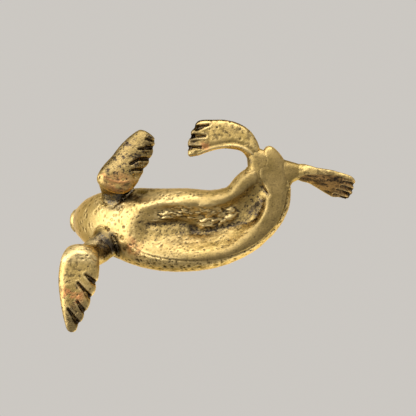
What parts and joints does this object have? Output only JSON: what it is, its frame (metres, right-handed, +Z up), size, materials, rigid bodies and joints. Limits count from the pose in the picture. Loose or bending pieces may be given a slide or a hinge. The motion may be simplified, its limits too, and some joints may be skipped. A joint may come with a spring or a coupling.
{
  "type": "sea lion figurine",
  "caption": "Small cast brass sea lion ornament that stands on its flippers and on the rim of a hollow belly, with its head raised.",
  "frame": {"origin": "centre of the footprint, on the plane that the flippers and the belly's rim stand on", "axes": "+Z up, +X towards the tail with the head facing -X, -Y towards the animal's left side"},
  "size_m": [0.0484, 0.0343, 0.0338],
  "materials": {
    "cast_brass": "antiqued: polished high spots with dark patina in pits and recesses",
    "dark_braze": "smooth braze under dark patina",
    "filed_braze": "filed flush and polished, with dark patina in the seam"
  },
  "bodies": {
    "root": {"torso": "cast_brass", "head": "cast_brass", "fore_flipper_left": "cast_brass", "fore_flipper_right": "cast_brass", "hind_flipper_left": "cast_brass", "hind_flipper_right": "cast_brass", "neck_braze": "filed_braze", "fore_left_braze": "dark_braze", "fore_right_braze": "dark_braze", "hind_left_braze": "filed_braze", "hind_right_braze": "filed_braze"}
  },
  "joints": []
}
